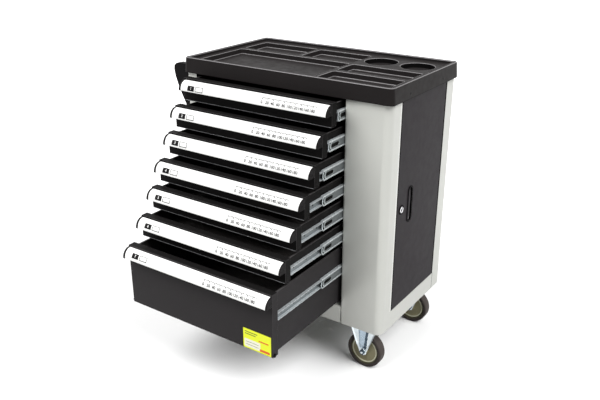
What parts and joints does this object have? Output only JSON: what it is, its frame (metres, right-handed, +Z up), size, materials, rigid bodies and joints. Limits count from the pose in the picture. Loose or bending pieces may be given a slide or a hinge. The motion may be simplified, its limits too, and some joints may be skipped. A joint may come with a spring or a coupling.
{
  "type": "tool cart",
  "caption": "Rolling steel tool cart with telescopic drawers standing open in a staircase, a moulded worktop tray, a side cupboard door, a push handle and castors.",
  "frame": {"origin": "on the floor at the middle of the overall box, handle and open drawers included", "axes": "+Z up, the drawers open towards -Y, the side door faces +X and the push handle is at -X"},
  "size_m": [0.841, 0.8404, 0.97],
  "materials": {
    "silver_paint": "satin",
    "dark_paint": "satin",
    "black_paint": "satin",
    "black_plastic": "matte",
    "zinc": "zinc plated",
    "aluminium": "satin",
    "olive_plastic": "matte",
    "rubber": "matte"
  },
  "bodies": {
    "root": {"worktop": "black_plastic", "top_frame": "black_paint", "base_pan": "silver_paint", "left_front_post": "silver_paint", "right_front_post": "silver_paint", "rear_shell": "silver_paint", "left_side_panel": "dark_paint", "left_runner_wall": "black_paint", "divider_wall": "black_paint", "handle_bracket_front": "black_plastic", "handle_bracket_rear": "black_plastic", "handle_tube": "black_paint", "side_door_hinge_rod": "zinc", "castor_front_right_bracket": "zinc", "castor_rear_right_bracket": "zinc", "castor_front_left_plate": "zinc", "castor_rear_left_plate": "zinc"},
    "runner_1": {"drawer_1_slide_left": "zinc", "drawer_1_slide_right": "zinc"},
    "drawer_1": {"drawer_1_tray": "black_paint", "drawer_1_pull": "aluminium"},
    "runner_2": {"drawer_2_slide_left": "zinc", "drawer_2_slide_right": "zinc"},
    "drawer_2": {"drawer_2_tray": "black_paint", "drawer_2_pull": "aluminium"},
    "runner_3": {"drawer_3_slide_left": "zinc", "drawer_3_slide_right": "zinc"},
    "drawer_3": {"drawer_3_tray": "black_paint", "drawer_3_pull": "aluminium"},
    "runner_4": {"drawer_4_slide_left": "zinc", "drawer_4_slide_right": "zinc"},
    "drawer_4": {"drawer_4_tray": "black_paint", "drawer_4_pull": "aluminium"},
    "runner_5": {"drawer_5_slide_left": "zinc", "drawer_5_slide_right": "zinc"},
    "drawer_5": {"drawer_5_tray": "black_paint", "drawer_5_pull": "aluminium"},
    "runner_6": {"drawer_6_slide_left": "zinc", "drawer_6_slide_right": "zinc"},
    "drawer_6": {"drawer_6_tray": "black_paint", "drawer_6_pull": "aluminium"},
    "runner_7": {"drawer_7_slide_left": "zinc", "drawer_7_slide_right": "zinc"},
    "drawer_7": {"drawer_7_tray": "black_paint", "drawer_7_pull": "aluminium"},
    "side_door": {"side_door_panel": "dark_paint", "side_door_pull": "black_plastic"},
    "door_lock": {"door_lock_cam": "zinc"},
    "wheel_front_right": {"castor_front_right_hub": "olive_plastic", "castor_front_right_tyre": "rubber"},
    "swivel_front_left": {"castor_front_left_fork": "zinc"},
    "wheel_front_left": {"castor_front_left_hub": "olive_plastic", "castor_front_left_tyre": "rubber"},
    "brake_front_left": {"castor_front_left_brake_pedal": "black_plastic"},
    "wheel_rear_right": {"castor_rear_right_hub": "olive_plastic", "castor_rear_right_tyre": "rubber"},
    "swivel_rear_left": {"castor_rear_left_fork": "zinc"},
    "wheel_rear_left": {"castor_rear_left_hub": "olive_plastic", "castor_rear_left_tyre": "rubber"},
    "brake_rear_left": {"castor_rear_left_brake_pedal": "black_plastic"}
  },
  "joints": [
    {"name": "drawer_1_runner", "type": "slide", "parent": "root", "child": "runner_1", "axis": [0, -1, 0], "range_m": [-0.06583, 0.07548]},
    {"name": "drawer_1_slide", "type": "slide", "parent": "runner_1", "child": "drawer_1", "axis": [0, -1, 0], "range_m": [0, 0.2327]},
    {"name": "drawer_2_runner", "type": "slide", "parent": "root", "child": "runner_2", "axis": [0, -1, 0], "range_m": [-0.1137, 0.02761]},
    {"name": "drawer_2_slide", "type": "slide", "parent": "runner_2", "child": "drawer_2", "axis": [0, -1, 0], "range_m": [0, 0.2327]},
    {"name": "drawer_3_runner", "type": "slide", "parent": "root", "child": "runner_3", "axis": [0, -1, 0], "range_m": [-0.14131, 0]},
    {"name": "drawer_3_slide", "type": "slide", "parent": "runner_3", "child": "drawer_3", "axis": [0, -1, 0], "range_m": [-0.01166, 0.22104]},
    {"name": "drawer_4_runner", "type": "slide", "parent": "root", "child": "runner_4", "axis": [0, -1, 0], "range_m": [-0.14131, 0]},
    {"name": "drawer_4_slide", "type": "slide", "parent": "runner_4", "child": "drawer_4", "axis": [0, -1, 0], "range_m": [-0.06103, 0.17167]},
    {"name": "drawer_5_runner", "type": "slide", "parent": "root", "child": "runner_5", "axis": [0, -1, 0], "range_m": [-0.14131, 0]},
    {"name": "drawer_5_slide", "type": "slide", "parent": "runner_5", "child": "drawer_5", "axis": [0, -1, 0], "range_m": [-0.10292, 0.12978]},
    {"name": "drawer_6_runner", "type": "slide", "parent": "root", "child": "runner_6", "axis": [0, -1, 0], "range_m": [-0.14131, 0]},
    {"name": "drawer_6_slide", "type": "slide", "parent": "runner_6", "child": "drawer_6", "axis": [0, -1, 0], "range_m": [-0.15715, 0.07555]},
    {"name": "drawer_7_runner", "type": "slide", "parent": "root", "child": "runner_7", "axis": [0, -1, 0], "range_m": [-0.14131, 0]},
    {"name": "drawer_7_slide", "type": "slide", "parent": "runner_7", "child": "drawer_7", "axis": [0, -1, 0], "range_m": [-0.22111, 0.01159]},
    {"name": "side_door_hinge", "type": "hinge", "parent": "root", "child": "side_door", "pos_m": [0.404, 0.34106, 0.2268], "axis": [0, 0, 1], "range_deg": [0, 95]},
    {"name": "door_lock_turn", "type": "hinge", "parent": "side_door", "child": "door_lock", "pos_m": [0.412, 0.06966, 0.5705], "axis": [-1, 0, 0], "range_deg": [0, 90]},
    {"name": "wheel_front_right_roll", "type": "hinge", "parent": "root", "child": "wheel_front_right", "pos_m": [0.3355, 0.02616, 0.0625], "axis": [0, 1, 0], "continuous": true},
    {"name": "swivel_front_left_turn", "type": "hinge", "parent": "root", "child": "swivel_front_left", "pos_m": [-0.2765, 0.02616, 0.1559], "axis": [0, 0, 1], "continuous": true},
    {"name": "wheel_front_left_roll", "type": "hinge", "parent": "swivel_front_left", "child": "wheel_front_left", "pos_m": [-0.3115, 0.02616, 0.0625], "axis": [0, 1, 0], "continuous": true},
    {"name": "brake_front_left_pedal", "type": "hinge", "parent": "swivel_front_left", "child": "brake_front_left", "pos_m": [-0.3235, 0.02616, 0.135], "axis": [0, 1, 0], "range_deg": [0, 20]},
    {"name": "wheel_rear_right_roll", "type": "hinge", "parent": "root", "child": "wheel_rear_right", "pos_m": [0.3355, 0.37116, 0.0625], "axis": [0, 1, 0], "continuous": true},
    {"name": "swivel_rear_left_turn", "type": "hinge", "parent": "root", "child": "swivel_rear_left", "pos_m": [-0.2765, 0.37116, 0.1559], "axis": [0, 0, 1], "continuous": true},
    {"name": "wheel_rear_left_roll", "type": "hinge", "parent": "swivel_rear_left", "child": "wheel_rear_left", "pos_m": [-0.3115, 0.37116, 0.0625], "axis": [0, 1, 0], "continuous": true},
    {"name": "brake_rear_left_pedal", "type": "hinge", "parent": "swivel_rear_left", "child": "brake_rear_left", "pos_m": [-0.3235, 0.37116, 0.135], "axis": [0, 1, 0], "range_deg": [0, 20]}
  ]
}
